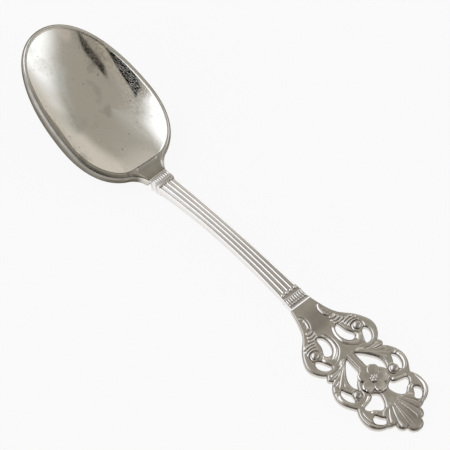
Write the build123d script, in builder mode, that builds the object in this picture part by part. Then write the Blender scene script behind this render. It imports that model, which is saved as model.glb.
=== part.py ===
"""Silver teaspoon: an egg-shaped bowl, a fluted stem between two chased collars, and a cast openwork
finial of scrolls and leaves with a rosette in the middle.

Millimetres, +Z up. +X runs from the bowl's tip to the finial's tip, and the spoon lies on z = 0,
on the worn heel of its bowl and on the end of its finial.
"""
import os
from math import atan2, cos, degrees, hypot, radians, sin

from build123d import *

os.makedirs("parts", exist_ok=True)

# Bowl. Lengths run along the rim, depths are square to it.
bowl_length = 37.9
bowl_width = 23.7
bowl_depth = 7.5
bowl_wall = 1.2
rim_land = 1.2
rim_round = 1.0
rim_pitch = 17.1
widest_from_tip = 23.3
deepest_from_tip = 18.3
outline_fullness = 0.62
tip_fullness = 2.4
side_fullness = 4.3
heel_fullness = 3.4
underside_roundness = 0.75
hollow_fullness = 1.3
hollow_roundness = 0.5
level_count = 10
lowest_level = 86.0
keel_samples = 400
worn_flat = 0.12

# Shoulder, from the end of the bowl to the neck
shoulder_length = 1.9
shoulder_half_width = 6.2
shoulder_root = 4.0
shoulder_step = 0.03

# Stem, a low arch whose flutes run along its top
stem_span = 44.5
neck_width = 4.2
neck_thickness = 2.6
waist_width = 3.6
waist_thickness = 2.1
root_width = 4.7
root_thickness = 1.5
waist_share = 0.45
flute_count = 4
flute_ridge = 0.25
flute_depth = 0.16
stem_stations = 6

# Collars, bands soldered round the two ends of the stem
collar_overhang = 0.3
bowl_collar_length = 2.8
finial_collar_length = 4.2
collar_lip = 0.12
collar_lip_length = 0.5

# Finial, a flat openwork casting. Its outline is in hundredths of its length and half width.
finial_length = 37.2
finial_width = 18.0
finial_thickness = 1.25
finial_pitch = 6.5

# Rosette, its stud and the beads in the eyes of the scrolls
rosette_place = 61.0
petal_count = 5
petal_ring = 2.0
petal_radius = 1.4
petal_height = 0.75
hub_radius = 2.7
stud_radius = 0.95
stud_height = 1.15
stud_crown = 0.4
stud_clearance = 0.03
bead_radius = 0.95
bead_height = 0.65
bead_places = [(29.6, 64.0), (62.8, 56.0)]

pitch = radians(rim_pitch)
droop = radians(finial_pitch)
depth_levels = [sin(radians(lowest_level * i / (level_count - 1))) for i in range(level_count)]


def outside_left(depth, power):
    """Share of the rim's reach that is left at a share of the depth, outside."""
    return (1 - depth**power) ** underside_roundness


def tip_at(depth):
    return deepest_from_tip * (1 - outside_left(depth, tip_fullness))


def heel_at(depth):
    return deepest_from_tip + (bowl_length - deepest_from_tip) * outside_left(depth, heel_fullness)


# Where the bowl stands: its lowest point, less the worn flat, is on z = 0.
fine_levels = [i / keel_samples for i in range(keel_samples + 1)]
keel_drop = max(heel_at(d) * sin(pitch) + d * bowl_depth * cos(pitch) for d in fine_levels)
tip_overhang = max(d * bowl_depth * sin(pitch) - tip_at(d) * cos(pitch) for d in fine_levels)
rim_tip_height = keel_drop - worn_flat
neck_reach = bowl_length + shoulder_length
overall_length = tip_overhang + neck_reach * cos(pitch) + stem_span + finial_length * cos(droop)

tip_x = tip_overhang - overall_length / 2
neck_x = tip_x + neck_reach * cos(pitch)
neck_z = rim_tip_height - neck_reach * sin(pitch)
root_x = neck_x + stem_span
root_z = finial_thickness * cos(droop) + finial_length * sin(droop) - worn_flat

# The top of the stem is one arc from the neck to the root, where it runs straight into the finial.
chord = hypot(stem_span, root_z - neck_z)
chord_rise = atan2(root_z - neck_z, stem_span)
neck_rise = 2 * chord_rise + droop
arch_radius = chord / (2 * sin((neck_rise + droop) / 2))
arch_x = root_x - arch_radius * sin(droop)
arch_z = root_z - arch_radius * cos(droop)

rim_plane = Plane(
    origin=(tip_x, 0, rim_tip_height), x_dir=(cos(pitch), 0, -sin(pitch)), z_dir=(sin(pitch), 0, cos(pitch))
)
finial_plane = Plane(
    origin=(root_x, 0, root_z), x_dir=(cos(droop), 0, -sin(droop)), z_dir=(sin(droop), 0, cos(droop))
)


def stem_plane(rise):
    """The plane across the stem where its top climbs at this angle."""
    return Plane(
        origin=(arch_x - arch_radius * sin(rise), 0, arch_z + arch_radius * cos(rise)),
        x_dir=(0, 1, 0),
        z_dir=(cos(rise), 0, sin(rise)),
    )


neck_plane = stem_plane(neck_rise)
root_plane = stem_plane(-droop)
ground = Plane.XY


def bowl_level(drop, tip, heel, side_left, half):
    """One egg-shaped level of the bowl, from its tip to its heel, this far below the rim."""
    widest = deepest_from_tip + (widest_from_tip - deepest_from_tip) * side_left
    tip_pull = outline_fullness * (widest - tip)
    heel_pull = outline_fullness * (heel - widest)
    side_pull = outline_fullness * half
    with BuildSketch(rim_plane.offset(-drop)) as level:
        with BuildLine():
            Bezier((tip, 0), (tip, side_pull), (widest - tip_pull, half), (widest, half))
            Bezier((widest, half), (widest + heel_pull, half), (heel, side_pull), (heel, 0))
            mirror(about=Plane.XZ)
        make_face()
    return level.sketch


def outside_level(depth):
    side_left = outside_left(depth, side_fullness)
    return bowl_level(
        depth * bowl_depth, tip_at(depth), heel_at(depth), side_left, bowl_width / 2 * side_left
    )


def hollow_level(depth):
    """A level of the hollow, which dips more gently than the outside."""
    left = (1 - depth**hollow_fullness) ** hollow_roundness
    tip = deepest_from_tip - (deepest_from_tip - rim_land) * left
    heel = deepest_from_tip + (bowl_length - rim_land - deepest_from_tip) * left
    return bowl_level(depth * (bowl_depth - bowl_wall), tip, heel, left, (bowl_width / 2 - rim_land) * left)


def stem_section(share):
    """The stem across its length: flat below, with flutes between narrow ridges above."""
    rise = neck_rise - share * (neck_rise + droop)
    if share < waist_share:
        end_width, end_thickness = neck_width, neck_thickness
        bow = (1 - share / waist_share) ** 2
    else:
        end_width, end_thickness = root_width, root_thickness
        bow = ((share - waist_share) / (1 - waist_share)) ** 2
    half = (waist_width + (end_width - waist_width) * bow) / 2
    thickness = waist_thickness + (end_thickness - waist_thickness) * bow
    flute = (2 * half - (flute_count + 1) * flute_ridge) / flute_count
    with BuildSketch(stem_plane(rise)) as section:
        with BuildLine():
            Polyline((-half, 0), (-half, -thickness), (half, -thickness), (half, 0))
            for i in range(flute_count):
                start = half - flute_ridge - i * (flute + flute_ridge)
                Line((start + flute_ridge, 0), (start, 0))
                ThreePointArc((start, 0), (start - flute / 2, -flute_depth), (start - flute, 0))
            Line((-half + flute_ridge, 0), (-half, 0))
        make_face()
    return section.sketch


def on_finial(along, across):
    """A point of the finial from hundredths of its length and half width."""
    return (along / 100 * finial_length, across / 100 * finial_width / 2)


# Bowl: an egg-shaped hollow with a flat rim, and the shoulder that carries it
with BuildPart() as bowl:
    loft([outside_level(depth) for depth in depth_levels])
    fillet(bowl.edges().group_by(Axis(rim_plane.origin, rim_plane.z_dir))[-1], radius=rim_round)
    with BuildSketch(rim_plane.offset(-shoulder_step)) as shoulder:
        with BuildLine():
            start = (bowl_length - shoulder_root, shoulder_half_width)
            end = (neck_reach + shoulder_length, neck_width / 2)
            Bezier(start, (bowl_length, neck_width / 2), end)
            Line(end, (end[0], 0))
            Line((start[0], 0), start)
            mirror(about=Plane.XZ)
        make_face()
    extrude(amount=-neck_thickness * cos(neck_rise + pitch))
    split(bisect_by=neck_plane, keep=Keep.BOTTOM)
    loft([hollow_level(depth) for depth in depth_levels], mode=Mode.SUBTRACT)
    split(bisect_by=ground, keep=Keep.TOP)
bowl.part.label = "bowl"
export_step(bowl.part, "parts/bowl.step")

# Stem: a bar drawn in at its waist
with BuildPart() as stem:
    loft([stem_section(i / (stem_stations - 1)) for i in range(stem_stations)])
stem.part.label = "stem"
export_step(stem.part, "parts/stem.step")


# Collars: each is a band round the stem, with a lip at both ends
def collar_band(plane, width, thickness, length):
    lip_proud = collar_overhang + collar_lip
    far_lip = length - collar_lip_length
    with BuildPart() as band:
        for proud, start, run in (
            (collar_overhang, 0, length),
            (lip_proud, 0, collar_lip_length),
            (lip_proud, far_lip, collar_lip_length),
        ):
            with BuildSketch(plane.offset(start)):
                with Locations((0, -thickness / 2)):
                    Rectangle(width + 2 * proud, thickness + 2 * proud)
            extrude(amount=run)
    return band.part


with BuildPart() as bowl_collar:
    add(collar_band(neck_plane, neck_width, neck_thickness, bowl_collar_length))
    add(stem.part, mode=Mode.SUBTRACT)
bowl_collar.part.label = "bowl_collar"
export_step(bowl_collar.part, "parts/bowl_collar.step")

with BuildPart() as finial_collar:
    collar_start = root_plane.offset(-finial_collar_length)
    add(collar_band(collar_start, root_width, root_thickness, finial_collar_length))
    add(stem.part, mode=Mode.SUBTRACT)
finial_collar.part.label = "finial_collar"
export_step(finial_collar.part, "parts/finial_collar.step")

# Finial outline from the root to the tip, one run to each lobe or scroll
upper_scroll = [(5.4, 35), (10.8, 42), (16.1, 53), (21.5, 75), (26.9, 91), (33.6, 100), (39, 93), (43, 77)]
first_lobe = [(43, 77), (46, 82.5), (47.6, 75.5)]
second_lobe = [(47.6, 75.5), (50.8, 89), (54.5, 96.5)]
lower_scroll = [(54.5, 96.5), (58.3, 100), (62.9, 96.5), (67.2, 86.5), (69.4, 80.5)]
third_scroll = [(69.4, 80.5), (73.7, 88), (79.3, 90), (82.5, 87), (85.8, 76), (87.9, 56)]
outer_leaf = [(87.9, 56), (89.2, 46), (89.5, 36)]
inner_leaf = [(89.5, 36), (92.2, 37), (94.4, 31.5), (94.9, 20.5)]
middle_leaf = [(94.9, 20.5), (98.2, 17), (100, 0)]
outline_runs = [first_lobe, second_lobe, lower_scroll, third_scroll, outer_leaf, inner_leaf, middle_leaf]

# The piercings of one side, each a closed curve
piercings = [
    [(21.8, 28), (23.7, 19.5), (27.7, 16), (32, 21), (34.5, 35), (32.8, 45.5), (30.1, 41.5), (25.5, 35)],
    [(32.8, 75), (35.8, 80), (38.7, 75.5), (40.9, 65.5), (40.9, 53), (37.4, 57), (34.1, 64)],
    [(55, 78), (57.8, 84.5), (61, 83.5), (63.7, 78), (65, 71), (62.6, 66), (60.2, 65), (57.3, 71)],
    [(67.3, 30.5), (70, 52), (71.5, 65), (74.2, 60), (75.8, 48), (78.2, 34.5), (76.9, 24.5), (72.6, 15),
     (69, 16)],
    [(78.2, 62), (79.8, 69.5), (82, 71), (83.9, 65.5), (85.6, 51), (83.6, 44.5), (81.2, 51.5)],
]
# The drop-shaped piercing beside the stalk has a corner at its top, and runs round the rosette below.
drop_stalk = [(41.7, 12), (51.5, 12)]
drop_inner = [(51.5, 12), (54.6, 25), (57.8, 38), (60.2, 43)]
drop_outer = [(60.2, 43), (57, 49.5), (52.7, 48), (48.9, 39.5), (44.4, 24.5), (41.7, 12)]

with BuildPart() as finial:
    with BuildSketch(finial_plane):
        with BuildLine():
            root_corner = (0, root_width / 2 + collar_overhang)
            Line((0, 0), root_corner)
            Spline(root_corner, *[on_finial(*point) for point in upper_scroll])
            for run in outline_runs:
                Spline(*[on_finial(*point) for point in run])
            mirror(about=Plane.XZ)
        make_face()
        for side in (1, -1):
            for piercing in piercings:
                with BuildLine():
                    Spline(*[on_finial(along, side * across) for along, across in piercing], periodic=True)
                make_face(mode=Mode.SUBTRACT)
            with BuildLine():
                Line(*[on_finial(along, side * across) for along, across in drop_stalk])
                Spline(*[on_finial(along, side * across) for along, across in drop_inner])
                Spline(*[on_finial(along, side * across) for along, across in drop_outer])
            make_face(mode=Mode.SUBTRACT)
        with Locations(on_finial(rosette_place, 0)):
            Circle(hub_radius)
    extrude(amount=-finial_thickness)
    split(bisect_by=ground, keep=Keep.TOP)
finial.part.label = "finial"
export_step(finial.part, "parts/finial.step")

# Rosette: domed petals round a seat for the stud
rosette_at = on_finial(rosette_place, 0)
rosette_plane = Plane(
    origin=finial_plane.from_local_coords((*rosette_at, 0)),
    x_dir=finial_plane.x_dir,
    z_dir=finial_plane.z_dir,
)


def dome_radius(base, height):
    return (base**2 + height**2) / (2 * height)


with BuildPart(rosette_plane) as rosette:
    petal_ball = dome_radius(petal_radius, petal_height)
    with PolarLocations(petal_ring, petal_count):
        with Locations((0, 0, petal_height - petal_ball)):
            Sphere(petal_ball)
    split(bisect_by=rosette_plane, keep=Keep.TOP)
    Hole(stud_radius + stud_clearance)
rosette.part.label = "rosette"
export_step(rosette.part, "parts/rosette.step")

# Stud: a short pin with a crowned head, in the middle of the petals
with BuildPart() as rosette_stud:
    with BuildSketch(rosette_plane):
        Circle(stud_radius)
    extrude(amount=stud_height - stud_crown)
    stud_ball = dome_radius(stud_radius, stud_crown)
    with BuildSketch(Plane(rosette_plane.origin, x_dir=rosette_plane.x_dir, z_dir=(0, -1, 0))):
        with BuildLine():
            Line((0, stud_height - stud_crown), (0, stud_height))
            RadiusArc((0, stud_height), (stud_radius, stud_height - stud_crown), stud_ball)
            Line((stud_radius, stud_height - stud_crown), (0, stud_height - stud_crown))
        make_face()
    revolve(axis=Axis(rosette_plane.origin, rosette_plane.z_dir))
rosette_stud.part.label = "rosette_stud"
export_step(rosette_stud.part, "parts/rosette_stud.step")

# Beads: one in the eye of each upper and lower scroll
with BuildPart(finial_plane) as scroll_beads:
    bead_ball = dome_radius(bead_radius, bead_height)
    for along, across in bead_places:
        for side in (1, -1):
            with Locations((*on_finial(along, side * across), bead_height - bead_ball)):
                Sphere(bead_ball)
    split(bisect_by=finial_plane, keep=Keep.TOP)
scroll_beads.part.label = "scroll_beads"
export_step(scroll_beads.part, "parts/scroll_beads.step")

print(f"overall length {overall_length:.1f}, rim tip height {rim_tip_height:.2f}, neck {neck_z:.2f}")
print(f"arch radius {arch_radius:.1f}, neck rise {degrees(neck_rise):.1f}, root height {root_z:.2f}")
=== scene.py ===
import math

import bpy
import numpy as np
from mathutils import Matrix, Vector, geometry


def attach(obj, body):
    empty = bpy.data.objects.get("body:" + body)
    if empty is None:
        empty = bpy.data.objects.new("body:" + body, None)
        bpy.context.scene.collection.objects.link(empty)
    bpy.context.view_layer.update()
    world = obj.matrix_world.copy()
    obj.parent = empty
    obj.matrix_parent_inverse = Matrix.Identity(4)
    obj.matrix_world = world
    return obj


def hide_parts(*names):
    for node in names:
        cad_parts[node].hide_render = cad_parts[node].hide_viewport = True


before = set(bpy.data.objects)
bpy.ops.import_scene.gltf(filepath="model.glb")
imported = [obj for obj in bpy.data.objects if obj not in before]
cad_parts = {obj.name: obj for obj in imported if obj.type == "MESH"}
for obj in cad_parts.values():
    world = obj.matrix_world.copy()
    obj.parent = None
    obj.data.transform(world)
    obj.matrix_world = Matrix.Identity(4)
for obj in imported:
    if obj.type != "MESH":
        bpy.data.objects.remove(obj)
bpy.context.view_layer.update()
mm = 0.001  # everything is drawn in millimetres and handed to Blender in metres


# How the spoon lies: the rim tips down towards the neck, the stem arches over to the finial
lie = {"rimPitch": 17.1, "finialPitch": 6.5, "neckReach": 39.8, "stemSpan": 44.5}

pitch = math.radians(lie["rimPitch"])
droop = math.radians(lie["finialPitch"])
rimRun = Vector((math.cos(pitch), 0, -math.sin(pitch)))
stemSpots = [vertex.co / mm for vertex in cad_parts["stem"].data.vertices]
neck = min(stemSpots, key=lambda spot: spot.x) * Vector((1, 0, 1))  # the stem's top line, at its ends
root = max(stemSpots, key=lambda spot: spot.x) * Vector((1, 0, 1))
rimTip = neck - lie["neckReach"] * rimRun
chordRise = math.atan2(root.z - neck.z, lie["stemSpan"])
neckRise = 2 * chordRise + droop
archRadius = math.hypot(lie["stemSpan"], root.z - neck.z) / (2 * math.sin((neckRise + droop) / 2))
archCentre = root - archRadius * Vector((math.sin(droop), 0, math.cos(droop)))


def seat(origin, rise):  # local x runs along the spoon, y across it, z up out of its face
    along = Vector((math.cos(rise), 0, math.sin(rise)))
    across = Vector((0, 1, 0))
    turn = Matrix((along, across, along.cross(across))).transposed().to_4x4()
    return Matrix.Translation(origin * mm) @ turn


def stemTop(rise):  # the point of the stem's top line that climbs at this angle
    return archCentre + archRadius * Vector((-math.sin(rise), 0, math.cos(rise)))


rimSeat = seat(rimTip, -pitch)
neckSeat = seat(neck, neckRise)
rootSeat = seat(root, -droop)


# Helpers for meshes
def addMesh(name, points, faces, place=None):
    mesh = bpy.data.meshes.new(name)
    mesh.from_pydata((np.asarray(points) * mm).tolist(), [], faces)
    if place:
        mesh.transform(place)
    mesh.update()
    piece = bpy.data.objects.new(name, mesh)
    bpy.context.scene.collection.objects.link(piece)
    mesh.polygons.foreach_set("use_smooth", [True] * len(mesh.polygons))
    return piece


def gridFaces(rows, columns):  # quads between closed rings of points
    faces = []
    for i in range(rows - 1):
        for j in range(columns):
            k = (j + 1) % columns
            faces.append((i * columns + j, i * columns + k, (i + 1) * columns + k, (i + 1) * columns + j))
    return faces


# the tarnish value holds real tarnish, and on the bowl's rim and the finial's field it also holds painted
# reflection, painted shade and painted sheen
def setTarnishAndShade(piece, values):
    layer = piece.data.attributes.new("tarnishAndShade", "FLOAT", "POINT")
    layer.data.foreach_set("value", np.clip(values, 0, 1).astype(np.float32))


def pointsOf(piece):
    points = np.empty(len(piece.data.vertices) * 3)
    piece.data.vertices.foreach_get("co", points)
    return points.reshape(-1, 3)


def movePoints(piece, points):
    piece.data.vertices.foreach_set("co", np.asarray(points, float).ravel())
    piece.data.update()


def restOnTable(piece):  # nothing reaches below the table
    for vertex in piece.data.vertices:
        vertex.co.z = max(vertex.co.z, 0)


def primitive(kind, **size):  # a fresh start for a piece, one unit to the millimetre until it is settled
    bpy.ops.object.select_all(action="DESELECT")
    getattr(bpy.ops.mesh, "primitive_" + kind + "_add")(**size)
    return bpy.context.object


def copiesAt(piece, places):  # a copy at each place, instead of the piece itself
    copies = []
    for place in places:
        twin = piece.copy()
        twin.data = piece.data.copy()
        twin.data.transform(place)
        bpy.context.scene.collection.objects.link(twin)
        copies.append(twin)
    bpy.data.objects.remove(piece)
    return copies


def joinPieces(name, pieces, place, sharp=40):  # one mesh out of several, moved to its place on the spoon
    bpy.ops.object.select_all(action="DESELECT")
    for piece in pieces:
        piece.select_set(True)
    bpy.context.view_layer.objects.active = pieces[0]
    bpy.ops.object.join()
    whole = bpy.context.object
    whole.name = name
    whole.data.name = name
    bpy.ops.object.shade_smooth_by_angle(angle=math.radians(sharp))
    local = pointsOf(whole)
    whole.data.transform(place @ Matrix.Scale(mm, 4))
    return whole, local


def smoothStep(low, high, value):
    share = np.clip((np.asarray(value, float) - low) / (high - low), 0, 1)
    return share * share * (3 - 2 * share)


def curve(points, step=0.08):  # a smooth line through a few points
    knots = np.array(points, float)
    if len(knots) == 2:
        count = max(2, int(np.linalg.norm(knots[1] - knots[0]) / step))
        return knots[0] + np.linspace(0, 1, count)[:, None] * (knots[1] - knots[0])
    before = np.vstack([2 * knots[0] - knots[1], knots[:-1]])
    after = np.vstack([knots[1:], 2 * knots[-1] - knots[-2]])
    pull = (after - before) / 2
    runs = []
    for i in range(len(knots) - 1):
        count = max(3, int(np.linalg.norm(knots[i + 1] - knots[i]) / step))
        t = np.linspace(0, 1, count, endpoint=False)[:, None]
        runs.append((1 + 2 * t) * (1 - t) ** 2 * knots[i] + t * (1 - t) ** 2 * pull[i]
                    + t * t * (3 - 2 * t) * knots[i + 1] + t * t * (t - 1) * pull[i + 1])
    return np.vstack(runs + [knots[-1:]])


# Shader wiring: a socket that can be added, multiplied and so on
class Wire:
    def __init__(self, tree, socket=None):
        self.tree = tree
        self.socket = socket

    def node(self, kind, settings=None, values=None, out=0):
        made = self.tree.nodes.new(kind)
        for name, value in (settings or {}).items():
            setattr(made, name, value)
        for name, value in (values or {}).items():
            if isinstance(value, Wire):
                self.tree.links.new(value.socket, made.inputs[name])
            else:
                made.inputs[name].default_value = value
        return Wire(self.tree, made.outputs[out] if len(made.outputs) else made.inputs[0])

    def output(self, name):
        return Wire(self.tree, self.socket.node.outputs[name])

    def math(self, operation, *operands):
        return self.node("ShaderNodeMath", {"operation": operation}, dict(enumerate(operands)))

    def __add__(self, other):
        return self.math("ADD", self, other)

    def __sub__(self, other):
        return self.math("SUBTRACT", self, other)

    def __mul__(self, other):
        return self.math("MULTIPLY", self, other)

    def __radd__(self, other):
        return self.math("ADD", other, self)

    def __rsub__(self, other):
        return self.math("SUBTRACT", other, self)

    def __rmul__(self, other):
        return self.math("MULTIPLY", other, self)

    def ease(self, low, high):  # 0 at low, 1 at high, smooth between and level beyond
        return self.node("ShaderNodeMapRange", {"interpolation_type": "SMOOTHSTEP"},
                         {"Value": self, "From Min": low, "From Max": high})

    def blend(self, first, second):  # colours, mixed by this mask
        return self.node("ShaderNodeMix", {"data_type": "RGBA"}, {0: self, 6: first, 7: second}, out=2)


# The studio: a pale floor and a room with two broad windows of light. Turns and rises are in degrees.
room = {
    "overhead": (0.36, 0.34, 0.30, 1), "gap": (0.012, 0.011, 0.009, 1),
    "post": {"left": (-81, 36.5, 0.28), "right": (-76.0, 50.5, 1.28)},  # turn, rise and slope of its edges
    "rails": [{"at": (-50.4, 51.5), "lean": 0.36, "half": 4.0, "halfTurn": 13.0},
              {"at": (-36.2, 40), "lean": -0.04, "half": 3.0, "halfTurn": 10.5}],
    "softRise": 1.5, "softTurn": 3, "softPost": 1.5,
}
lights = [  # each is laid over the ones before it
    {"at": (117, 22.5), "half": (47, 18), "core": 0.59, "fade": 1.36, "lean": -0.53,
     "tint": (0.64, 0.61, 0.56, 1)},  # haze
    {"at": (-73.5, 41), "half": (23.5, 19), "core": 0.58, "fade": 0.94, "lean": 0.05,
     "tint": (0.43, 0.39, 0.325, 1)},  # wall behind the post
    {"at": (54.5, 43.5), "half": (36.5, 7.5), "core": 0.25, "fade": 1.04, "lean": 0.3,
     "tint": (0.44, 0.45, 0.43, 1)},  # glow over the first window
    {"at": (92, 30), "half": (6.3, 25.5), "core": 0.3, "fade": 1.0, "lean": 0.0,
     "tint": (0.32, 0.31, 0.27, 1)},  # shade beside it
    {"at": (-16, 43.5), "half": (26.5, 11), "core": 0.36, "fade": 0.62, "lean": -0.09,
     "tint": (0.50, 0.45, 0.41, 1)},  # wall between the windows
    {"at": (42.5, 27.5), "half": (34.5, 12), "core": 0.5, "fade": 1.69, "lean": 0.22,
     "tint": (1.2, 1.24, 1.3, 1)},  # first window
    {"at": (-143, 45.5), "half": (60, 38.5), "core": 0.66, "fade": 1.74, "lean": 0.3,
     "tint": (0.47, 0.46, 0.43, 1)},  # fringe of the second window
    {"at": (-135, 35), "half": (52, 29.5), "core": 0.94, "fade": 1.36, "lean": 0.13,
     "tint": (1.45, 1.5, 1.6, 1)},  # second window
    {"at": (-84, 57), "half": (8, 19.5), "core": 0.43, "fade": 1.57, "lean": 0.04,
     "tint": (0.38, 0.36, 0.32, 1)},  # shade over the post
]


def makeRoom():
    world = bpy.data.worlds.new("studioRoom")
    bpy.context.scene.world = world
    world.use_nodes = True
    world.node_tree.nodes.clear()
    wire = Wire(world.node_tree)
    aim = wire.node("ShaderNodeSeparateXYZ", values={0: wire.node("ShaderNodeTexCoord", out="Generated")})
    turn = wire.math("ARCTAN2", aim.output("Y"), aim.output("X")) * math.degrees(1)
    rise = wire.math("ARCSINE", aim.output("Z")) * math.degrees(1)

    def away(atTurn):
        return wire.math("WRAP", turn - atTurn, 180, -180)

    def glow(light):  # an oval light with a soft edge
        off = away(light["at"][0])
        across = off * (1 / light["half"][0])
        up = (rise - light["at"][1] + off * light["lean"]) * (1 / light["half"][1])
        return wire.math("SQRT", across * across + up * up).ease(light["fade"], light["core"])

    def rail(bar):  # a dark slanting bar
        off = away(bar["at"][0])
        up = wire.math("ABSOLUTE", rise - bar["at"][1] + off * bar["lean"])
        level = up.ease(bar["half"] + room["softRise"], bar["half"] - room["softRise"])
        ends = bar["halfTurn"] + room["softTurn"], bar["halfTurn"] - room["softTurn"]
        return level * wire.math("ABSOLUTE", off).ease(*ends)

    def past(at, foot, slope):  # how far past a slanting upright edge
        return away(at) + (rise - foot) * slope

    colour = room["overhead"]
    for light in lights:
        colour = glow(light).blend(colour, light["tint"])
    soft = room["softPost"]
    post = past(*room["post"]["left"]).ease(-soft, soft) * past(*room["post"]["right"]).ease(soft, -soft)
    colour = post.blend(colour, room["gap"])
    for bar in room["rails"]:
        colour = rail(bar).blend(colour, room["gap"])
    shine = wire.node("ShaderNodeBackground", values={"Color": colour, "Strength": 1.0})
    wire.node("ShaderNodeOutputWorld", values={"Surface": shine})


# Floor: plain white to the camera and in the silver, and otherwise lit like paper
paper = {"size": 24, "drop": 0.02, "lit": (0.9, 0.9, 0.9, 1), "white": (0.98, 0.98, 0.98, 1),
         "seen": 0.93, "mirrored": 0.92}


def makeFloor():
    bpy.ops.object.select_all(action="DESELECT")
    bpy.ops.mesh.primitive_plane_add(size=paper["size"], location=(0, 0, -paper["drop"] * mm))
    floor = bpy.context.object
    floor.name = "paleFloor"
    finish = bpy.data.materials.new("palePaper")
    finish.use_nodes = True
    finish.node_tree.nodes.clear()
    wire = Wire(finish.node_tree)
    path = wire.node("ShaderNodeLightPath", out="Is Camera Ray")
    mirrored = wire.math("MAXIMUM", path.output("Is Glossy Ray"), path.output("Is Transmission Ray"))
    seen = wire.math("MAXIMUM", path * paper["seen"], mirrored * paper["mirrored"])
    lit = wire.node("ShaderNodeBsdfDiffuse", values={"Color": paper["lit"]})
    white = wire.node("ShaderNodeEmission", values={"Color": paper["white"], "Strength": 1.0})
    both = wire.node("ShaderNodeMixShader", values={0: seen, 1: lit, 2: white})
    wire.node("ShaderNodeOutputMaterial", values={"Surface": both})
    floor.data.materials.append(finish)


# Camera: a very long lens, so that the spoon shows hardly any perspective
view = {"turn": 48.435, "rise": 56.509, "pixelsPerMm": 4.807, "tipAt": (37.0, 69.8), "tipInset": 0.05,
        "frame": 450, "sensor": 36.0, "distance": 3800.0, "clip": (0.1, 100)}


def makeCamera():
    turn, rise = math.radians(view["turn"]), math.radians(view["rise"])
    right = Vector((math.cos(turn), math.sin(turn), 0))
    back = Vector((math.sin(turn) * math.cos(rise), -math.cos(turn) * math.cos(rise), math.sin(rise)))
    up = back.cross(right)
    tipFoot = Vector((rimTip.x + view["tipInset"], 0, 0))
    middle = view["frame"] / 2
    across = (middle - view["tipAt"][0]) / view["pixelsPerMm"]
    down = (middle - view["tipAt"][1]) / view["pixelsPerMm"]
    aim = tipFoot + right * across - up * down
    lens = bpy.data.cameras.new("longLens")
    lens.sensor_width = view["sensor"]
    lens.lens = view["sensor"] * view["distance"] * view["pixelsPerMm"] / view["frame"]
    lens.clip_start, lens.clip_end = view["clip"]
    camera = bpy.data.objects.new("longLens", lens)
    bpy.context.scene.collection.objects.link(camera)
    facing = Matrix((right, up, back)).transposed().to_4x4()
    camera.matrix_world = Matrix.Translation((aim + back * view["distance"]) * mm) @ facing
    bpy.context.scene.camera = camera


makeRoom()
makeFloor()
makeCamera()
bpy.context.scene.view_settings.view_transform = "Standard"
print("studio ready")


# Silver finishes
silver = {
    "bowl": {"bright": (0.90, 0.87, 0.81, 1), "dull": (0.27, 0.248, 0.212, 1), "edge": (0.3, 0.28, 0.25, 1)},
    "stem": {"bright": (0.91, 0.88, 0.85, 1), "dull": (0.27, 0.252, 0.232, 1), "edge": (1, 1, 1, 1)},
    "cast": {"bright": (0.91, 0.865, 0.815, 1), "dull": (0.27, 0.244, 0.214, 1),
             "edge": (0.8, 0.78, 0.74, 1)},
}
wear = {  # noises and the masks cut from them
    "cloud": {"scale": 420, "detail": 5.0, "stain": 0.3, "fog": 0.02},
    "patch": {"scale": 190, "detail": 4.0, "mask": (0.56, 0.70)},
    "pit": {"scale": 1500, "detail": 2.0, "mask": (0.69, 0.76)},
    "wave": {"scale": 260, "detail": 1.0, "high": 0.5},
    "line": {"scales": (160, 220), "turns": (0.5, -0.9), "detail": 1.0, "stretch": (1, 14, 14),
             "mask": (0.012, 0.0), "fog": 0.04},
    "bump": {"strength": 0.35, "distance": 0.02},
}


def silverFinish(name, tone, roughness, haze, scratch, pit, bloom=0.0):
    finish = bpy.data.materials.new(name)
    finish.use_nodes = True
    finish.node_tree.nodes.clear()
    wire = Wire(finish.node_tree)
    place = wire.node("ShaderNodeTexCoord", out="Object")
    line, bump = wear["line"], wear["bump"]

    def noise(scale, detail, stretch=(1, 1, 1), turn=0.0):
        laid = wire.node("ShaderNodeMapping",
                         values={"Vector": place, "Rotation": (0, 0, turn), "Scale": stretch})
        return wire.node("ShaderNodeTexNoise", values={"Vector": laid, "Scale": scale, "Detail": detail})

    def grain(kind):
        return noise(wear[kind]["scale"], wear[kind]["detail"])

    def hairlines(scale, turn):  # thin lines where a stretched noise crosses its middle
        across = noise(scale, line["detail"], line["stretch"], turn) - 0.5
        return wire.math("ABSOLUTE", across).ease(*line["mask"])

    # this value sets how tarnished the silver looks: real tarnish, plus painted reflection, shade and sheen
    # where the pieces set them
    stain = wire.node("ShaderNodeAttribute", {"attribute_name": "tarnishAndShade"}, out="Fac")
    cloud = grain("cloud") - 0.5
    patches = grain("patch").ease(*wear["patch"]["mask"])
    pits = grain("pit").ease(*wear["pit"]["mask"]) * pit
    lines = wire.math("MAXIMUM", *[hairlines(*run) for run in zip(line["scales"], line["turns"])])
    tarnishAndShade = (stain + patches * bloom + cloud * wear["cloud"]["stain"]).ease(0.0, 1.0)
    worn = tarnishAndShade.blend(silver[tone]["bright"], silver[tone]["dull"])
    colour = pits.blend(worn, silver[tone]["dull"])
    fog = roughness + lines * line["fog"] + cloud * wear["cloud"]["fog"] + tarnishAndShade * haze
    height = grain("wave") * wear["wave"]["high"] - lines * scratch - pits
    normal = wire.node("ShaderNodeBump", values={"Height": height, "Strength": bump["strength"],
                                                 "Distance": bump["distance"] * mm})
    metal = wire.node("ShaderNodeBsdfPrincipled",
                      values={"Base Color": colour, "Metallic": 1.0, "Roughness": fog, "Normal": normal,
                              "Specular Tint": silver[tone]["edge"]})
    wire.node("ShaderNodeOutputMaterial", values={"Surface": metal})
    return finish


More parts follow.
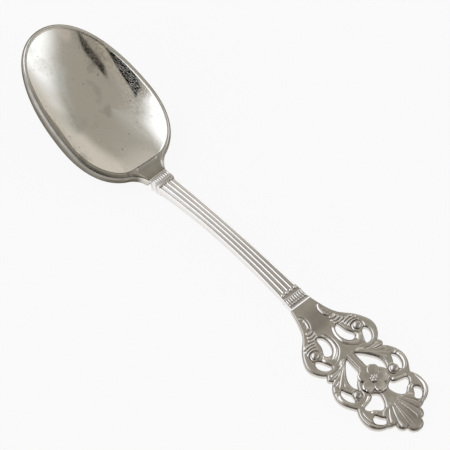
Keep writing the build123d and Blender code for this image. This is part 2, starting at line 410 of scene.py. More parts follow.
bowlSilver = silverFinish("bowlSilver", "bowl", roughness=0.035, haze=0.3, scratch=0.3, pit=0.7, bloom=0.3)
stemSilver = silverFinish("stemSilver", "stem", roughness=0.12, haze=0.14, scratch=0.3, pit=0.3)
chasedSilver = silverFinish("chasedSilver", "stem", roughness=0.14, haze=0.14, scratch=0.2, pit=0.3)
castSilver = silverFinish("castSilver", "cast", roughness=0.15, haze=0.14, scratch=0.2, pit=0.4)


def dress(piece, finish, slot, *nodes):
    piece.data.materials.clear()
    piece.data.materials.append(finish)
    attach(piece, "root")
    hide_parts(*nodes)
    print(piece.name, len(piece.data.polygons), "faces")


# Bowl: an egg-shaped hollow with a rounded rim and a shoulder that runs into the neck. Pairs are where
# a change starts and ends; those named Push go by how far the shoulder is drawn out past the egg.
bowl = {
    "length": 37.9, "width": 23.7, "depth": 7.5, "widest": 23.3, "deepest": 18.3, "outline": 0.62,
    "tip": 2.4, "side": 4.3, "heel": 5.0, "underside": 0.75,  # how the outside falls away
    "land": 1.2, "round": 1.0, "farLand": 0.92, "farRound": 0.78, "innerEdge": 0.12,  # the rim
    "tipWear": 0.13, "tipTrim": 0.07, "tipReach": 9,
    "basinDeep": 4.2, "basin": 1.8, "cutAt": 36.1, "cutLean": 0.06, "cutSoft": 0.32,  # the hollow
    "shoulderFrom": 36.4, "shoulderHalf": 5.6, "shoulderTurn": 38.3, "shoulderEnd": 41.0,
    "shoulderDip": 0.3, "dipPush": (0.2, 1.6), "shoulderSteps": 200,
    "neckHalf": 2.12, "neckEnd": 39.9, "neckDeep": 2.3, "neckFillet": 2.2, "neckRound": 0.45,
    "roundPush": (0, 1.2), "nearTurn": -60.0, "nearFacing": (-0.1, 0.5),
    # the near stain values are painted reflection: the side facing the camera is painted darker on the rim's
    # top and lighter on its outer wall
    "wallStain": 0.92, "nearWallTarnishAndLight": 0.74, "farStain": 0.02, "nearPaintedReflection": 0.37, "basinStain": 0.02,
    "shoulderStain": 0.3, "stainPush": (0.4, 1.6), "crownSheen": 0.22, "crownPush": (0.8, 2.0),
    "neckPolish": 0.85, "polishPush": (0.2, 1.4), "wornTurn": 52, "nearReflectionTurn": 20, "wornFade": 16,
    "columns": 400, "crowding": 1.35, "levels": 60, "levelTurns": (89.4, 1), "topLevel": 1.05,
    "edgeSteps": 15, "landShares": (0.06, 0.25, 0.5, 0.75, 0.94), "innerTurns": (0, 22, 45, 68, 90),
    "basinShares": (0.985, 0.012),
}


def makeBowl():
    b = bowl
    x = np.linspace(-1, 1, b["columns"], endpoint=False)
    around = (2 + 2 * np.sign(x) * np.abs(x) ** b["crowding"]) % 4  # crowded towards the neck
    turned = np.where(around > 2, 4 - around, around)
    front = turned <= 1
    t = np.where(front, turned, turned - 1)

    def left(depth, power, roundness):  # share of the rim's reach that is left at this depth
        return max(0.0, 1 - depth**power) ** roundness

    def bend(a, c, d, e):
        return (1 - t) ** 3 * a + 3 * t * (1 - t) ** 2 * c + 3 * t * t * (1 - t) * d + t**3 * e

    def egg(tipLeft, sideLeft, heelLeft, inset):
        tip = b["deepest"] - (b["deepest"] - inset) * tipLeft
        heel = b["deepest"] + (b["length"] - b["deepest"] - inset) * heelLeft
        widest = b["deepest"] + (b["widest"] - b["deepest"]) * sideLeft
        half = (b["width"] / 2 - inset) * sideLeft
        tipPull = b["outline"] * (widest - tip)
        heelPull = b["outline"] * (heel - widest)
        pull = b["outline"] * half
        u = np.where(front, bend(tip, tip, widest - tipPull, widest),
                     bend(widest, widest + heelPull, heel, heel))
        v = np.where(front, bend(0, pull, half, half), bend(half, half, pull, 0))
        return u, np.where(around > 2, -v, v)

    def shoulder(v):  # how far along the shoulder reaches at this distance from the middle
        s = np.linspace(0, 1, b["shoulderSteps"])
        along = (1 - s) ** 2 * b["shoulderFrom"] + 2 * s * (1 - s) * b["shoulderTurn"]
        along = along + s * s * b["shoulderEnd"]
        half = (1 - s) ** 2 * b["shoulderHalf"] + (1 - (1 - s) ** 2) * b["neckHalf"]
        reach = np.interp(np.abs(v), half[::-1], along[::-1], right=0)
        return np.minimum(reach, b["neckEnd"])

    rimU, rimV = egg(1, 1, 1, 0.0)
    push = np.maximum(shoulder(rimV) - rimU, 0) * (rimU > b["widest"])
    near = math.radians(b["nearTurn"])
    out = rimU - b["deepest"]
    facing = (out * math.cos(near) + rimV * math.sin(near)) / np.hypot(out, rimV)
    nearShare = smoothStep(*b["nearFacing"], facing)
    land = b["farLand"] + (b["land"] - b["farLand"]) * nearShare  # worn thinner on the far side
    rounding = b["farRound"] + (b["round"] - b["farRound"]) * nearShare
    rounding += (b["neckRound"] - rounding) * smoothStep(*b["roundPush"], push)
    # Painted reflection: on the side facing the camera the rim's top is painted darker and its outer wall
    # lighter, standing in for what the silver reflects there
    top = b["farStain"] + (b["nearPaintedReflection"] - b["farStain"]) * nearShare
    top = top + b["shoulderStain"] * smoothStep(*b["stainPush"], push)
    crown = top - b["crownSheen"] * smoothStep(*b["crownPush"], push)  # the middle of the shoulder, painted lighter as a sheen
    wall = b["wallStain"] + (b["nearWallTarnishAndLight"] - b["wallStain"]) * nearShare
    wall = wall * (1 - b["neckPolish"] * smoothStep(*b["polishPush"], push))  # the neck is handled bright

    def ring(shares, inset, drop, carry, cut=0.0):  # cut is how much of the straight heel the ring has
        u, v = egg(*shares, inset)
        limit = b["deepest"] + (b["cutAt"] + b["cutLean"] * v / shares[2] - b["deepest"]) * shares[2]
        over = u - limit
        u = u - cut * (over + np.hypot(over, b["cutSoft"])) / 2
        worn = smoothStep(b["tipReach"], 0, u)
        return np.stack([u + push * carry + b["tipTrim"] * worn, v, -drop - b["tipWear"] * worn], 1)

    def outer(drop):
        depth = drop / b["depth"]
        return [left(depth, b[way], b["underside"]) for way in ("tip", "side", "heel")]

    levels, stains = [], []
    for angle in np.radians(np.linspace(*b["levelTurns"], b["levels"])):  # outside, from the lowest point up
        drop = math.sin(angle) * b["depth"]
        if drop < b["round"] * b["topLevel"]:
            continue
        carry = 1 - float(smoothStep(b["neckDeep"], b["neckDeep"] + b["neckFillet"], drop))
        levels.append(ring(outer(drop), 0.0, drop, carry))
        stains.append(wall)
    for angle in np.radians(np.linspace(0, 90, b["edgeSteps"])):  # the rim's rounded outer edge
        fall = 1 - math.sin(angle)
        shares = outer(float(b["round"] * fall))
        levels.append(ring(shares, rounding * (1 - math.cos(angle)), rounding * fall, 1))
        # painted reflection: on the side facing the camera the wall's colour reaches further up the rounded
        # edge
        turn = math.degrees(angle) - b["wornTurn"] - b["nearReflectionTurn"] * nearShare
        over = np.clip(turn / b["wornFade"], 0, 1)
        stains.append(wall + (top - wall) * over)
    for share in b["landShares"]:  # the flat of the rim, which widens on the shoulder
        inset = rounding + (land - b["innerEdge"] - rounding) * share
        dip = b["shoulderDip"] * math.sin(math.pi * share) * smoothStep(*b["dipPush"], push)
        levels.append(ring((1, 1, 1), inset, dip, 1 - share, share))
        # painted sheen: the middle of the shoulder's flat is painted lighter
        stains.append(top + (crown - top) * math.sin(math.pi * share))
    for angle in np.radians(b["innerTurns"]):  # inner edge
        r = b["innerEdge"]
        levels.append(ring((1, 1, 1), land - r + r * math.sin(angle), r * (1 - math.cos(angle)), 0, 1))
        stains.append(top)
    for share in np.linspace(*b["basinShares"], b["levels"]):  # inside, down to the bottom
        drop = b["innerEdge"] + (1 - share ** b["basin"]) * (b["basinDeep"] - b["innerEdge"])
        levels.append(ring((share, share, share), land, drop, 0, 1))
        stains.append(np.full(b["columns"], b["basinStain"]))
    count = b["columns"]
    points = np.vstack(levels)
    faces = [face[::-1] for face in gridFaces(len(levels), count)]
    faces.append(tuple(range(count)))
    faces.append(tuple(range(len(points) - 1, len(points) - 1 - count, -1)))
    piece = addMesh("spoonBowl", points, faces, rimSeat)
    restOnTable(piece)  # the heel is worn flat where it rests
    setTarnishAndShade(piece, np.concatenate(stains))
    dress(piece, bowlSilver, "bowl_silver", "bowl")


# Stem: a bar drawn in at its waist, with flutes between narrow ridges along its top
stem = {
    "neckWide": 4.2, "neckThick": 2.6, "waistWide": 3.6, "waistThick": 2.1,
    "rootWide": 4.7, "rootThick": 1.5, "waist": 0.45,
    "flutes": 4, "ridge": 0.12, "ridgeHigh": 0.03, "fluteDeep": 0.15, "fluteFlat": 6,
    "arris": [(0.0, -0.22, 0.0), (0.0, -0.09, 0.0), (0.03, -0.02, 0.05), (0.09, 0.0, 0.1)],  # in, up, stain
    "edge": 0.3, "crown": 0.12, "stations": 90, "fluteSteps": 25, "edgeSteps": 6,
    "fluteStain": 0.08, "footStain": 0.5, "footFrom": (0.4, 0.62), "footWorn": 0.55, "wornFrom": (0.8, 0.92),
    "ridgeStain": 0.04, "backStain": 0.3,
}


def stemSize(share):  # half width and thickness
    s = stem
    if share < s["waist"]:
        wide, thick, bow = s["neckWide"], s["neckThick"], (1 - share / s["waist"]) ** 2
    else:
        wide, thick, bow = s["rootWide"], s["rootThick"], ((share - s["waist"]) / (1 - s["waist"])) ** 2
    half = (s["waistWide"] + (wide - s["waistWide"]) * bow) / 2
    return half, s["waistThick"] + (thick - s["waistThick"]) * bow


def stemProfile(half, thick):  # across, up, tarnish: round the section from its right edge over the top
    s = stem
    flute = (2 * half - (s["flutes"] + 1) * s["ridge"]) / s["flutes"]
    outline = [(half - inset, up, stain) for inset, up, stain in s["arris"]]
    for i in range(s["flutes"]):
        start = half - s["ridge"] - i * (flute + s["ridge"])
        for t in np.linspace(0, 1, s["fluteSteps"]):
            side = abs(2 * t - 1)
            foot = smoothStep(*s["footFrom"], side) * s["footStain"]
            foot = foot - smoothStep(*s["wornFrom"], side) * s["footWorn"]
            deep = s["fluteDeep"] * (side ** s["fluteFlat"] - 1)
            outline.append((start - flute * t, deep, s["fluteStain"] + foot))
        if i < s["flutes"] - 1:
            for t in (0.25, 0.5, 0.75):
                high = s["ridgeHigh"] * math.sin(math.pi * t)
                outline.append((start - flute - s["ridge"] * t, high, s["ridgeStain"]))
    outline += [(inset - half, up, stain) for inset, up, stain in s["arris"][::-1]]
    outline = [(across, up - s["crown"] * (across / half) ** 2, stain) for across, up, stain in outline]
    r = s["edge"]
    lower = []
    for angle in np.radians(np.linspace(0, 90, s["edgeSteps"])):
        stain = s["backStain"] + s["backStain"] * math.sin(angle)
        lower.append((half - r + r * math.cos(angle), r - thick - r * math.sin(angle), stain))
    outline += [(-across, up, stain) for across, up, stain in lower]
    return outline + lower[::-1]


def makeStem():
    rows, stains = [], []
    for share in np.linspace(0, 1, stem["stations"]):
        rise = neckRise - share * (neckRise + droop)
        top, up = stemTop(rise), Vector((-math.sin(rise), 0, math.cos(rise)))
        profile = stemProfile(*stemSize(share))
        rows.append([top + Vector((0, across, 0)) + up * height for across, height, stain in profile])
        stains += [stain for across, height, stain in profile]
    count = len(rows[0])
    points = np.array(rows).reshape(-1, 3)
    faces = gridFaces(len(rows), count)
    faces.append(tuple(range(count - 1, -1, -1)))
    faces.append(tuple(range(len(points) - count, len(points))))
    piece = addMesh("flutedStem", points, faces)
    setTarnishAndShade(piece, stains)
    dress(piece, stemSilver, "stem_silver", "stem")


# Collars: bands round the ends of the stem, chased with fillets, bars and beads
collar = {
    "ground": 0.04, "groundBevel": 0.05, "proud": 0.08, "proudBevel": 0.08,
    "filletProud": 0.2, "filletWide": 0.42, "filletBevel": 0.18,
    "lineWide": 0.375, "lineProud": 0.26, "lineBevel": 0.14, "lineStretch": 1.55,
    "bars": 8, "barWide": 0.26, "barHigh": 0.2, "barBevel": 0.13,
    "bead": (0.42, 0.5), "endBead": (0.62, 0.95),  # along and across
    "beadHigh": 0.24, "beadCut": 0.1,
    "recess": 0.48, "polish": 0.05, "polishFrom": (0.05, 0.2), "face": 0.02, "sharp": 31,
}
bowlCollar = {"length": 2.8, "fillets": [0.2, 1.8], "bars": (0.55, 1.55), "plain": (1.95, 2.8)}
finialCollar = {"length": 4.2, "fillets": [1.5], "endFillet": 3.98, "bars": (1.75, 2.85), "beads": 3.15,
                "endBeads": 0.45}


def block(size, middle, bevel, segments):  # a bevelled block
    piece = primitive("cube", size=1)
    bpy.ops.object.mode_set(mode="EDIT")
    bpy.ops.mesh.select_all(action="SELECT")
    bpy.ops.transform.resize(value=size)
    bpy.ops.transform.translate(value=middle)
    bpy.ops.mesh.bevel(offset=bevel, segments=segments, affect="EDGES")
    bpy.ops.object.mode_set(mode="OBJECT")
    return piece


def band(start, end, half, thick, proud, bevel):  # right round the stem
    size = (end - start, 2 * (half + proud), thick + 2 * proud)
    return block(size, ((start + end) / 2, 0, -thick / 2), bevel, 3)


def fillets(places, half, thick):
    c = collar
    reach = c["filletWide"] / 2
    return [band(x - reach, x + reach, half, thick, c["filletProud"], c["filletBevel"]) for x in places]


def endLine(along, half, thick):  # a chamfered fillet, whose far slope catches the light
    c = collar
    size = (c["lineWide"], 2 * (half + c["lineProud"]), thick + 2 * c["lineProud"])
    piece = block(size, (0, 0, -thick / 2), c["lineBevel"], 1)
    drawn = Matrix.Scale(c["lineStretch"], 4, (1, 0, 0))  # its slopes are lower than a plain chamfer's
    piece.data.transform(Matrix.Translation((along, 0, 0)) @ drawn)
    return piece


def chasedBar(start, end):  # one raised bar of a row, rounded over
    c = collar
    return block((end - start, c["barWide"], 2 * c["barHigh"]), ((start + end) / 2, 0, 0), c["barBevel"], 3)


def chasedBead(along, across):  # one low bead
    c = collar
    piece = primitive("uv_sphere", segments=16, ring_count=10, radius=0.5)
    bpy.ops.object.mode_set(mode="EDIT")
    bpy.ops.mesh.select_all(action="SELECT")
    bpy.ops.mesh.bisect(plane_co=(0, 0, -c["beadCut"]), plane_no=(0, 0, 1), clear_inner=True, use_fill=True)
    bpy.ops.mesh.select_all(action="SELECT")
    bpy.ops.transform.resize(value=(along, across, 2 * c["beadHigh"]))
    bpy.ops.object.mode_set(mode="OBJECT")
    return piece


def rowAcross(piece, half, count, along=0.0):  # copies side by side over the stem's width
    spots = [(along, (2 * (i + 0.5) / count - 1) * half, collar["ground"]) for i in range(count)]
    return copiesAt(piece, [Matrix.Translation(spot) for spot in spots])


def finishCollar(name, pieces, place, firstShare, length, node):
    c = collar
    whole, local = joinPieces(name, pieces, place, c["sharp"])
    half = np.array([stemSize(firstShare + x / lie["stemSpan"])[0] for x in local[:, 0]])
    widest = max(stemSize(firstShare)[0], stemSize(firstShare + length / lie["stemSpan"])[0])
    local[:, 1] *= (half + c["proud"]) / (widest + c["proud"])  # the band tapers with the stem
    turned = np.array(place.to_3x3())
    movePoints(whole, local * mm @ turned.T + np.array(place.translation))
    stain = c["recess"] - (c["recess"] - c["polish"]) * smoothStep(*c["polishFrom"], local[:, 2])
    setTarnishAndShade(whole, np.where(local[:, 2] < c["face"], c["polish"], stain))
    dress(whole, chasedSilver, "chased_silver", node)


def makeBowlCollar():
    c, k = collar, bowlCollar
    half, thick = stemSize(0)
    pieces = [band(0, k["length"], half, thick, c["ground"], c["groundBevel"]),
              band(*k["plain"], half, thick, c["proud"], c["proudBevel"])]
    pieces += fillets(k["fillets"], half, thick)
    pieces += rowAcross(chasedBar(*k["bars"]), half, c["bars"])
    finishCollar("bowlCollar", pieces, neckSeat, 0, k["length"], "bowl_collar")


def makeFinialCollar():
    c, k = collar, finialCollar
    firstShare = 1 - k["length"] / lie["stemSpan"]
    half, thick = stemSize(1)
    pieces = [band(0, k["length"], half, thick, c["ground"], c["groundBevel"])]
    pieces += fillets(k["fillets"], half, thick)
    pieces.append(endLine(k["endFillet"], half, thick))
    pieces += rowAcross(chasedBar(*k["bars"]), half, c["bars"])
    pieces += rowAcross(chasedBead(*c["bead"]), half, c["bars"], k["beads"])
    pieces += rowAcross(chasedBead(*c["endBead"]), half, stem["flutes"], k["endBeads"])
    place = rootSeat @ Matrix.Translation((-k["length"] * mm, 0, 0))
    finishCollar("finialCollar", pieces, place, firstShare, k["length"], "finial_collar")


# Finial: a pierced casting, chased with scrolls, husks and leaves. Lines run along and across, in
# millimetres from the collar, down one side, and the other side mirrors them.
finial = {
    "thick": 1.25, "thinnest": 0.3, "lipDrop": 0.05, "wallFoot": 0.12, "flat": 0.01, "sharp": 62,
    "grid": 0.13, "gridRow": 0.866, "gridClear": 0.55, "edgeStep": 0.12, "edgeClear": 0.45,
    "rootEdge": 0.05, "edgeLine": 0.02, "fieldEnd": 8.0, "fieldFade": 2,
    "fieldRound": 0.35, "fieldDrop": 0.26, "bandRound": 0.6, "bandDrop": 0.38,
    "lobesFrom": 30.0, "lobesTo": 33.5, "lobeRound": 1.0, "lobeDrop": 0.5,
    "strokeFade": 0.15, "strokeRound": 1.5, "ringHalf": 0.26, "ringDeep": 0.16, "ringSteps": 40,
    "stain": 0.36, "wear": 3.0, "softPasses": 14, "lobeStain": 0.2, "wallStain": 0.35, "rootWallStain": 0.02,
    # the field value paints shade into the middle of the plain field by the collar
    "fieldPaintedShade": 0.2, "fieldInset": (0.5, 2.2), "fieldFrom": (1.0, 4.0),
    "edgeStain": 0.3, "edgeInset": (0.55, 0.15),
}
grooves = [  # half width, depth, line
    (0.24, 0.15, [(1.8, 2.75), (2.4, 2.15), (3.2, 1.8), (4.4, 1.85), (5.4, 2.3), (6.0, 2.9)]),  # crescent
    (0.14, 0.07, [(3.2, 2.3), (3.6, 3.1)]),
    (0.14, 0.07, [(4.0, 2.3), (4.4, 3.3)]),
    (0.14, 0.07, [(4.8, 2.5), (5.2, 3.5)]),
    (0.2, 0.15, [(6.45, 2.2), (6.65, 3.2), (6.5, 4.2)]),  # husk
    (0.2, 0.15, [(7.2, 2.2), (7.45, 3.3), (7.3, 4.6)]),
    (0.24, 0.15, [(8.0, 2.6), (8.15, 3.6), (7.9, 5.2)]),
    (0.2, 0.14, [(9.0, 3.7), (8.6, 4.9), (8.65, 6.0), (9.0, 6.9)]),  # shell
    (0.2, 0.14, [(9.75, 3.9), (9.25, 5.0), (9.3, 6.2), (9.8, 7.2)]),
    (0.24, 0.14, [(7.5, 1.6), (8.8, 0.8), (10.3, 0.45), (12.2, 0.65), (13.5, 1.5), (14.5, 2.9),
                  (15.0, 4.3)]),
    (0.2, 0.15, [(15.4, 1.4), (16.8, 3.4), (18.4, 5.4), (20.1, 7.4)]),  # leaf beside the stalk
    (0.18, 0.13, [(16.0, 2.9), (16.2, 4.4), (16.2, 6.2)]),
    (0.18, 0.13, [(16.9, 4.0), (17.4, 5.4), (17.5, 7.0)]),
    (0.18, 0.12, [(18.0, 5.2), (18.6, 6.3), (18.8, 7.8)]),
    (0.14, 0.05, [(16.4, 2.5), (18.2, 3.9), (20.0, 4.8), (21.4, 4.8)]),
    (0.16, 0.1, [(14.4, 0.55), (15.6, 0.6), (19.4, 0.6)]),
    (0.2, 0.13, [(20.6, 7.2), (20.2, 8.0), (20.0, 8.6)]),  # the leaf's tip against the scroll
    (0.22, 0.15, [(26.4, 7.0), (28.2, 7.2), (30.0, 7.0), (31.3, 6.2), (32.0, 5.2)]),
    (0.17, 0.12, [(28.6, 0.35), (31.5, 0.85), (34.2, 1.25), (35.6, 1.2)]),  # palmette
    (0.17, 0.12, [(29.4, 1.1), (31.5, 2.1), (33.4, 2.75), (34.6, 2.7)]),
    (0.17, 0.11, [(29.6, 2.0), (31.0, 3.2), (32.6, 4.2)]),
    (0.13, 0.07, [(29.6, 0.8), (32.0, 1.55), (35.0, 1.95)]),
    (0.13, 0.07, [(29.8, 1.7), (31.6, 2.75), (33.8, 3.4)]),
    (0.12, 0.06, [(28.4, 0.0), (32.0, 0.1), (36.3, 0.0)]),
    (0.12, 0.06, [(29.0, 0.3), (32.5, 0.5), (35.8, 0.55)]),
    (0.12, 0.06, [(29.4, 2.3), (30.6, 3.6), (31.9, 4.5)]),
]
ridges = [  # half width, height, line
    (0.32, 0.13, [(2.2, 2.75), (2.9, 2.25), (3.6, 2.12), (4.6, 2.25), (5.5, 2.75)]),
    (0.3, 0.15, [(6.1, 2.4), (6.25, 3.2), (6.0, 4.0)]),
    (0.32, 0.17, [(6.8, 2.1), (7.05, 3.2), (6.9, 4.4)]),
    (0.32, 0.17, [(7.6, 2.3), (7.85, 3.4), (7.6, 4.8)]),
    (0.3, 0.16, [(8.55, 3.6), (8.3, 4.6), (8.3, 5.8), (8.5, 6.6)]),
    (0.3, 0.17, [(9.35, 3.8), (8.95, 4.9), (8.98, 6.1), (9.4, 7.1)]),
    (0.3, 0.17, [(10.1, 4.1), (9.6, 5.0), (9.65, 6.2), (10.3, 7.1)]),
    (0.34, 0.17, [(8.0, 2.0), (9.0, 1.3), (10.3, 0.95), (12.0, 1.15), (13.1, 1.95), (13.8, 3.0),
                  (14.2, 4.2)]),
    (0.95, 0.2, [(15.2, 1.3), (16.6, 3.2), (18.2, 5.1), (19.9, 6.9)]),
    (0.5, 0.16, [(16.6, 3.2), (16.8, 4.9), (16.8, 6.6)]),
    (0.5, 0.16, [(17.6, 4.6), (18.0, 6.0), (18.1, 7.5)]),
    (0.5, 0.14, [(17.4, 3.6), (19.2, 5.0), (20.8, 5.6)]),
    (0.4, 0.14, [(20.9, 7.8), (21.8, 8.2), (23.0, 8.05), (24.2, 7.3), (24.7, 6.3)]),
    (0.4, 0.16, [(24.9, 3.0), (25.8, 4.6), (26.0, 6.2)]),
    (0.45, 0.14, [(26.6, 7.6), (28.4, 7.9), (30.4, 7.5), (31.7, 6.3)]),
    (1.0, 0.12, [(27.5, 0.0), (33.5, 0.0), (38.4, 0.0)]),
    (0.8, 0.14, [(28.2, 0.7), (32.6, 1.7), (36.4, 2.2)]),
    (0.8, 0.14, [(28.6, 1.4), (31.6, 2.8), (34.9, 3.9)]),
    (0.75, 0.13, [(28.8, 2.0), (30.8, 3.9), (33.3, 5.4)]),
]
beadRings = [(11.2, 5.7, 1.3), (23.35, 5.05, 1.15)]  # grooves round the beads: along, across, radius
domes = [(13.6, 4.7, 1.1, 0.22), (28.4, 4.9, 0.7, 0.2)]  # along, across, radius, height


def finialLoops():  # the outline and the piercings, from the solid's top face
    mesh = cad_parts["finial"].data
    home = np.array(rootSeat.inverted())
    corners = np.array([vertex.co for vertex in mesh.vertices])
    local = np.round((corners @ home[:3, :3].T + home[:3, 3]) / mm, 3)
    spots, index = np.unique(local, axis=0, return_inverse=True)
    index = index.reshape(-1)
    steps = {}
    for polygon in mesh.polygons:
        face = [int(index[i]) for i in polygon.vertices]
        if max(abs(spots[i][2]) for i in face) < finial["flat"]:
            for a, b in zip(face, face[1:] + face[:1]):
                steps[(a, b)] = True
    after = {a: b for a, b in steps if (b, a) not in steps}
    loops = []
    while after:
        start, spot = after.popitem()
        loop = [start]
        while spot != start:
            loop.append(spot)
            spot = after.pop(spot)
        loops.append(spots[loop][:, :2])
    return loops


def evenLoop(loop, step):  # the same loop with points at an even step
    fine = []
    for a, b in zip(loop, np.roll(loop, -1, 0)):
        count = max(1, round(float(np.linalg.norm(b - a)) / step))
        if fine and np.linalg.norm(a - fine[-1]) < step * finial["edgeClear"]:
            continue
        fine += [a + (b - a) * i / count for i in range(count)]
    return np.array(fine)


def nearest(points, line):  # distance to a line of points, and how far along it that is
    best, place = np.full(len(points), np.inf), np.zeros(len(points))
    for i, spot in enumerate(line):
        away = np.hypot(*(points - spot).T)
        closer = away < best
        best[closer], place[closer] = away[closer], i / max(1, len(line) - 1)
    return best, place


def strokes(points, lines):  # how far chased lines raise or sink each point
    f = finial
    moved = np.zeros(len(points))
    for half, height, line in lines:
        for side in (1, -1):
            path = curve(line) * (1, side)
            close = np.all((points > path.min(0) - half) & (points < path.max(0) + half), axis=1)
            away, place = nearest(points[close], path)
            fade = smoothStep(0, f["strokeFade"], place) * smoothStep(1, 1 - f["strokeFade"], place)
            reach = height * fade * np.clip(1 - (away / half) ** 2, 0, 1) ** f["strokeRound"]
            moved[close] = np.maximum(moved[close], reach)
    return moved


def within(points, loops):  # whether each point lies in the metal rather than in a piercing
    odd = np.zeros(len(points), bool)
    for loop in loops:
        for (ax, ay), (bx, by) in zip(loop, np.roll(loop, -1, 0)):
            spans = (points[:, 1] < ay) != (points[:, 1] < by)
            reach = ax + (points[spans, 1] - ay) / (by - ay) * (bx - ax)
            odd[spans] ^= points[spans, 0] < reach
    return odd


def triangulate(points, loops):  # triangles between the loops, with the piercings left open
    edges, first = [], 0
    for loop in loops:
        edges += [(first + i, first + (i + 1) % len(loop)) for i in range(len(loop))]
        first += len(loop)
    made = geometry.delaunay_2d_cdt([Vector(point) for point in points], edges, [], 1, 1e-6)
    faces = np.array([[made[3][i][0] for i in face] for face in made[2]])
    kept = np.ones(len(faces), bool)
    bridges = (faces < first).all(axis=1)  # only these can cross a piercing
    kept[bridges] = within(points[faces[bridges]].mean(axis=1), loops)
    return [tuple(int(i) for i in face) for face in faces[kept]]


def finialZones(points):  # the plain field by the collar, and the lobes at the tip
    f = finial
    field = 1 - smoothStep(f["fieldEnd"] - f["fieldFade"], f["fieldEnd"], points[:, 0])
    return field, smoothStep(f["lobesFrom"], f["lobesTo"], points[:, 0])


def finialRelief(points, edge):  # height of the top: rounded edges, chased lines and domes
    f = finial
    field, lobes = finialZones(points)
    roundOver = f["bandRound"] + (f["fieldRound"] - f["bandRound"]) * field
    roundOver += (f["lobeRound"] - f["bandRound"]) * lobes
    drop = f["bandDrop"] + (f["fieldDrop"] - f["bandDrop"]) * field
    drop += (f["lobeDrop"] - f["bandDrop"]) * lobes
    height = -drop * (1 - np.sqrt(np.clip(1 - (1 - np.clip(edge / roundOver, 0, 1)) ** 2, 0, 1)))
    turn = np.linspace(0, 2 * math.pi, f["ringSteps"])
    circles = []
    for along, across, radius in beadRings:
        line = np.stack([along + radius * np.cos(turn), across + radius * np.sin(turn)], 1)
        circles.append((f["ringHalf"], f["ringDeep"], line))
    inside = edge > f["edgeLine"]
    sunk = np.maximum(strokes(points, grooves), strokes(points, circles))
    height += inside * (strokes(points, ridges) - sunk)
    for along, across, radius, rise in domes:
        for side in (1, -1):
            away = np.hypot(points[:, 0] - along, points[:, 1] - side * across) / radius
            height += inside * rise * np.clip(1 - away**2, 0, 1)
    return np.maximum(height, f["thinnest"] - f["thick"])


def finialStain(points, faces, edge, height):  # tarnish in the recesses, polish on the crests, and painted shade in the middle of the plain field
    f = finial
    field, lobes = finialZones(points)
    pairs = np.array([(face[i], face[(i + 1) % 3]) for face in faces for i in range(3)])
    links = np.bincount(pairs.ravel(), minlength=len(points))
    soft = height.copy()
    for _ in range(f["softPasses"]):
        total = np.bincount(pairs[:, 0], soft[pairs[:, 1]], len(points))
        total += np.bincount(pairs[:, 1], soft[pairs[:, 0]], len(points))
        soft = total / np.maximum(links, 1)
    stain = f["stain"] + f["wear"] * (soft - height)
    # painted shade: the middle of the plain field is painted darker, and it is lighter towards its edges and
    # the collar
    middle = smoothStep(*f["fieldInset"], edge) * smoothStep(*f["fieldFrom"], points[:, 0])
    stain += f["fieldPaintedShade"] * middle * field + f["edgeStain"] * smoothStep(*f["edgeInset"], edge)
    return stain + f["lobeStain"] * lobes


def makeFinial():
    f = finial
    loops = [evenLoop(loop, f["edgeStep"]) for loop in finialLoops()]
    rim = np.vstack(loops)
    low, high = rim.min(0), rim.max(0)
    columns = np.arange(low[0], high[0], f["grid"])
    rows = np.arange(low[1], high[1], f["grid"] * f["gridRow"])
    grid = np.array([(x + (i % 2) * f["grid"] / 2, y) for i, y in enumerate(rows) for x in columns])
    crowd, _ = nearest(grid, rim)
    points = np.vstack([rim, grid[(crowd > f["grid"] * f["gridClear"]) & within(grid, loops)]])
    faces = triangulate(points, loops)
    edge, _ = nearest(points, rim[rim[:, 0] > f["rootEdge"]])  # its root butts the collar
    height = finialRelief(points, edge)
    stain = finialStain(points, faces, edge, height)
    field, _ = finialZones(rim)
    wallStain = f["wallStain"] + (f["rootWallStain"] - f["wallStain"]) * field
    count = len(rim)
    levels = [np.column_stack([points, height]), np.column_stack([rim, height[:count] - f["lipDrop"]])]
    for level in (f["wallFoot"] - f["thick"], -f["thick"]):
        levels.append(np.column_stack([rim, np.full(count, level)]))
    base, first = len(points), 0
    for loop in loops:
        for i in range(len(loop)):
            a, b = first + i, first + (i + 1) % len(loop)
            faces.append((b, a, base + a, base + b))
            for step in (base, base + count):
                faces.append((step + b, step + a, step + count + a, step + count + b))
        first += len(loop)
    faces += [tuple(base + 2 * count + i for i in face[::-1]) for face in triangulate(rim, loops)]
    piece = addMesh("openworkFinial", np.vstack(levels), faces, rootSeat)
    restOnTable(piece)
    setTarnishAndShade(piece, np.concatenate([stain, wallStain, wallStain, wallStain]))
    bpy.ops.object.select_all(action="DESELECT")
    piece.select_set(True)
    bpy.context.view_layer.objects.active = piece
    bpy.ops.object.shade_smooth_by_angle(angle=math.radians(f["sharp"]))
    dress(piece, castSilver, "cast_silver", "finial")


# Rosette: five cupped petals, a grained stud, and beads in the eyes of the scrolls
rosette = {
    "along": 22.69, "petals": 5, "ring": 1.95, "petalLong": 1.6, "petalWide": 1.4, "petalHigh": 0.8,
    "segments": 40, "sunk": 0.04, "dent": 0.42, "dentReach": 0.82, "tilt": 0.14, "upper": 0.01,
    "notch": 0.16, "notchHalf": 0.3, "notchFrom": (0.6, 1.4),
    "stain": 0.9, "polish": 0.65, "polishFrom": (0.1, 0.62),
}
stud = {
    "radius": 0.95, "high": 1.1, "sunk": 0.02, "grain": 0.3, "grains": 7, "grainSegments": 12,
    "grainRing": 0.6, "grainSunk": 0.6, "coreSunk": 0.5, "stain": 0.8, "polish": 0.55, "polishFrom": 0.5,
}
beads = {"radius": 0.95, "high": 0.62, "sunk": 0.04, "places": [(11.01, 5.76), (23.36, 5.04)],
         "stain": 0.85, "polish": 0.4, "polishTo": 0.8}


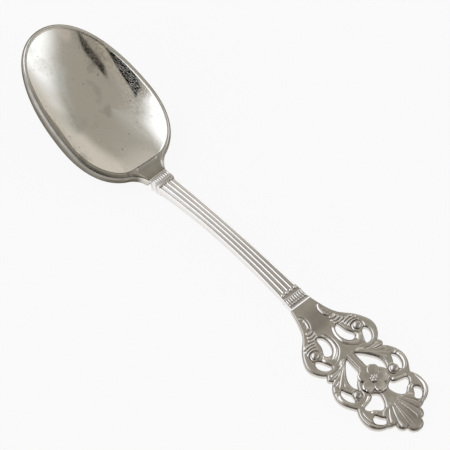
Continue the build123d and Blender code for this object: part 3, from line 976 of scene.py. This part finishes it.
def dome(radius, high, segments=32):  # half a ball, flat below
    piece = primitive("uv_sphere", segments=segments, ring_count=segments // 2, radius=radius)
    bpy.ops.object.mode_set(mode="EDIT")
    bpy.ops.mesh.select_all(action="SELECT")
    bpy.ops.mesh.bisect(plane_co=(0, 0, 0), plane_no=(0, 0, 1), clear_inner=True, use_fill=True)
    bpy.ops.mesh.select_all(action="SELECT")
    bpy.ops.transform.resize(value=(1, 1, high / radius))
    bpy.ops.object.mode_set(mode="OBJECT")
    return piece


def makeRosette():
    r = rosette
    petal = dome(1.0, r["petalHigh"], r["segments"])
    points = pointsOf(petal)
    reach = np.hypot(points[:, 0], points[:, 1])
    upper = points[:, 2] > r["upper"]
    points[:, 2] -= upper * r["dent"] * np.clip(1 - (reach / r["dentReach"]) ** 2, 0, 1)  # cupped
    points[:, 2] += upper * r["tilt"] * points[:, 0]
    points[:, 0] *= r["petalLong"]
    points[:, 1] *= r["petalWide"]
    notch = np.exp(-((points[:, 1] / r["notchHalf"]) ** 2)) * smoothStep(*r["notchFrom"], points[:, 0])
    points[:, 0] -= r["notch"] * notch
    movePoints(petal, points)
    out = Matrix.Translation((r["ring"], 0, 0))
    turns = [2 * math.pi * i / r["petals"] for i in range(r["petals"])]
    petals = copiesAt(petal, [Matrix.Rotation(turn, 4, "Z") @ out for turn in turns])
    place = rootSeat @ Matrix.Translation((r["along"] * mm, 0, -r["sunk"] * mm))
    whole, local = joinPieces("rosettePetals", petals, place)
    setTarnishAndShade(whole, r["stain"] - r["polish"] * smoothStep(*r["polishFrom"], local[:, 2]))
    dress(whole, castSilver, "cast_silver", "rosette")


def makeStud():
    s = stud
    core = dome(s["radius"], s["high"] - s["grain"] * s["coreSunk"])
    places = []
    for i in range(s["grains"]):
        out = 0 if i == 0 else s["radius"] * s["grainRing"]
        turn = 2 * math.pi * i / (s["grains"] - 1)
        lift = (s["high"] - s["grain"] * s["grainSunk"]) * math.sqrt(1 - (out / s["radius"]) ** 2)
        places.append(Matrix.Translation((out * math.cos(turn), out * math.sin(turn), lift)))
    grains = copiesAt(dome(s["grain"], s["grain"], s["grainSegments"]), places)
    place = rootSeat @ Matrix.Translation((rosette["along"] * mm, 0, -s["sunk"] * mm))
    whole, local = joinPieces("rosetteStud", [core] + grains, place)
    setTarnishAndShade(whole, s["stain"] - s["polish"] * smoothStep(s["polishFrom"], s["high"], local[:, 2]))
    dress(whole, castSilver, "cast_silver", "rosette_stud")


def makeBeads():
    b = beads
    spots = [(along, side * across, -b["sunk"]) for along, across in b["places"] for side in (1, -1)]
    pieces = copiesAt(dome(b["radius"], b["high"]), [Matrix.Translation(spot) for spot in spots])
    whole, local = joinPieces("scrollBeads", pieces, rootSeat)
    setTarnishAndShade(whole, b["stain"] - b["polish"] * smoothStep(0.0, b["high"] * b["polishTo"], local[:, 2]))
    dress(whole, castSilver, "cast_silver", "scroll_beads")


makeBowl()
makeStem()
makeBowlCollar()
makeFinialCollar()
makeFinial()
makeRosette()
makeStud()
makeBeads()
